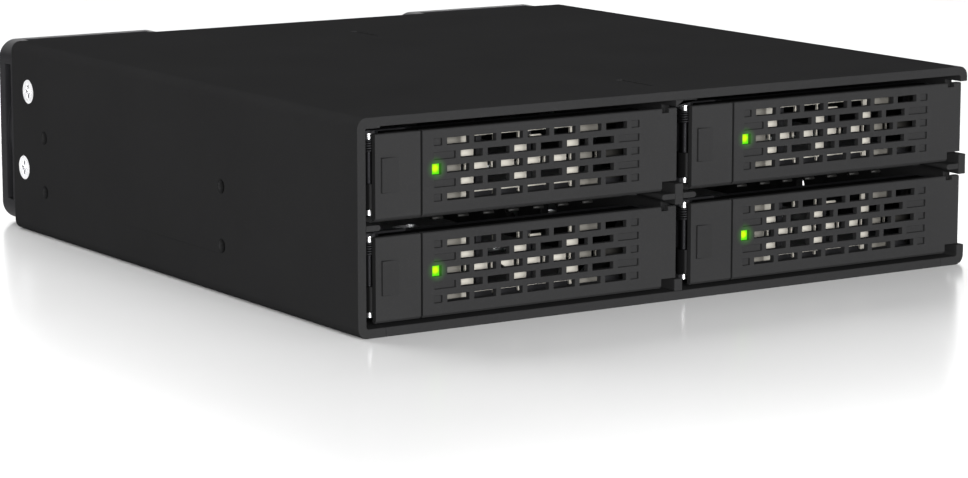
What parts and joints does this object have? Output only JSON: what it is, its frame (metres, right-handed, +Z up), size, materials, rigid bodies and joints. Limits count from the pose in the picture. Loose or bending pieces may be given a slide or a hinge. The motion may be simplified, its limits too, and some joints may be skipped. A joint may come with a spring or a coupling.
{
  "type": "drive cage",
  "caption": "Black metal hot-swap cage for a 5.25-inch bay: sliding 2.5-inch drive trays with grille lever doors, press latches and rear fans.",
  "frame": {"origin": "under the middle of the whole object, on the plane it stands on", "axes": "+Z up, the doors face -Y and the fans +Y, +X to the right of someone facing the doors"},
  "size_m": [0.146, 0.1574, 0.0413],
  "materials": {
    "case_paint": "satin black powder coat",
    "inner_paint": "satin black powder coat",
    "door_paint": "matte charcoal paint",
    "frame_plastic": "black moulded plastic",
    "vent_steel": "bright zinc-plated sheet",
    "tray_steel": "zinc-plated steel sheet",
    "light_guide": "clear acrylic lit green",
    "pin_steel": "bright turned steel",
    "spring_steel": "dark spring wire",
    "screw_steel": "nickel-plated steel",
    "black_screw": "black oxide",
    "board": "green solder mask",
    "port_plastic": "black glass-filled plastic",
    "brass": "turned brass",
    "fan_plastic": "black moulded plastic"
  },
  "bodies": {
    "cage": {"case_shell": "case_paint", "bottom_plate": "case_paint", "divider": "inner_paint", "shelf_left": "inner_paint", "shelf_right": "inner_paint", "rear_panel": "inner_paint", "backplane": "board", "port_board": "board", "data_ports": "port_plastic", "power_ports": "port_plastic", "standoffs": "brass", "backplane_screws": "pin_steel", "side_screws": "screw_steel", "fan_screws": "black_screw", "fan_left_frame": "fan_plastic", "fan_right_frame": "fan_plastic", "drive_socket1": "port_plastic", "drive_socket2": "port_plastic", "drive_socket3": "port_plastic", "drive_socket4": "port_plastic"},
    "tray1": {"tray1_bed": "tray_steel", "tray1_frame": "frame_plastic", "tray1_vent": "vent_steel", "tray1_light_pipe": "light_guide", "tray1_lever_pin": "pin_steel", "tray1_latch_pin": "pin_steel", "tray1_spring": "spring_steel"},
    "tray1_lever": {"tray1_lever": "door_paint"},
    "tray1_latch": {"tray1_latch": "door_paint"},
    "tray2": {"tray2_bed": "tray_steel", "tray2_frame": "frame_plastic", "tray2_vent": "vent_steel", "tray2_light_pipe": "light_guide", "tray2_lever_pin": "pin_steel", "tray2_latch_pin": "pin_steel", "tray2_spring": "spring_steel"},
    "tray2_lever": {"tray2_lever": "door_paint"},
    "tray2_latch": {"tray2_latch": "door_paint"},
    "tray3": {"tray3_bed": "tray_steel", "tray3_frame": "frame_plastic", "tray3_vent": "vent_steel", "tray3_light_pipe": "light_guide", "tray3_lever_pin": "pin_steel", "tray3_latch_pin": "pin_steel", "tray3_spring": "spring_steel"},
    "tray3_lever": {"tray3_lever": "door_paint"},
    "tray3_latch": {"tray3_latch": "door_paint"},
    "tray4": {"tray4_bed": "tray_steel", "tray4_frame": "frame_plastic", "tray4_vent": "vent_steel", "tray4_light_pipe": "light_guide", "tray4_lever_pin": "pin_steel", "tray4_latch_pin": "pin_steel", "tray4_spring": "spring_steel"},
    "tray4_lever": {"tray4_lever": "door_paint"},
    "tray4_latch": {"tray4_latch": "door_paint"},
    "fan_left_rotor": {"fan_left_rotor": "fan_plastic"},
    "fan_right_rotor": {"fan_right_rotor": "fan_plastic"}
  },
  "joints": [
    {"name": "tray1_slide", "type": "slide", "parent": "cage", "child": "tray1", "axis": [0, -1, 0], "range_m": [0, 0.11]},
    {"name": "tray1_lever_swing", "type": "hinge", "parent": "tray1", "child": "tray1_lever", "pos_m": [-0.0033, -0.0749, 0.03025], "axis": [0, 0, 1], "range_deg": [0, 55]},
    {"name": "tray1_latch_press", "type": "hinge", "parent": "tray1", "child": "tray1_latch", "pos_m": [-0.06874, -0.0752, 0.03025], "axis": [0, 0, 1], "range_deg": [0, 8], "stiffness_Nm_per_rad": 0.03},
    {"name": "tray2_slide", "type": "slide", "parent": "cage", "child": "tray2", "axis": [0, -1, 0], "range_m": [0, 0.11]},
    {"name": "tray2_lever_swing", "type": "hinge", "parent": "tray2", "child": "tray2_lever", "pos_m": [0.06885, -0.0749, 0.03025], "axis": [0, 0, 1], "range_deg": [0, 55]},
    {"name": "tray2_latch_press", "type": "hinge", "parent": "tray2", "child": "tray2_latch", "pos_m": [0.00341, -0.0752, 0.03025], "axis": [0, 0, 1], "range_deg": [0, 8], "stiffness_Nm_per_rad": 0.03},
    {"name": "tray3_slide", "type": "slide", "parent": "cage", "child": "tray3", "axis": [0, -1, 0], "range_m": [0, 0.11]},
    {"name": "tray3_lever_swing", "type": "hinge", "parent": "tray3", "child": "tray3_lever", "pos_m": [-0.0033, -0.0749, 0.011], "axis": [0, 0, 1], "range_deg": [0, 55]},
    {"name": "tray3_latch_press", "type": "hinge", "parent": "tray3", "child": "tray3_latch", "pos_m": [-0.06874, -0.0752, 0.011], "axis": [0, 0, 1], "range_deg": [0, 8], "stiffness_Nm_per_rad": 0.03},
    {"name": "tray4_slide", "type": "slide", "parent": "cage", "child": "tray4", "axis": [0, -1, 0], "range_m": [0, 0.11]},
    {"name": "tray4_lever_swing", "type": "hinge", "parent": "tray4", "child": "tray4_lever", "pos_m": [0.06885, -0.0749, 0.011], "axis": [0, 0, 1], "range_deg": [0, 55]},
    {"name": "tray4_latch_press", "type": "hinge", "parent": "tray4", "child": "tray4_latch", "pos_m": [0.00341, -0.0752, 0.011], "axis": [0, 0, 1], "range_deg": [0, 8], "stiffness_Nm_per_rad": 0.03},
    {"name": "fan_left_spin", "type": "hinge", "parent": "cage", "child": "fan_left_rotor", "pos_m": [-0.0513, 0.0737, 0.02065], "axis": [0, 1, 0], "continuous": true},
    {"name": "fan_right_spin", "type": "hinge", "parent": "cage", "child": "fan_right_rotor", "pos_m": [0.0513, 0.0737, 0.02065], "axis": [0, 1, 0], "continuous": true}
  ]
}
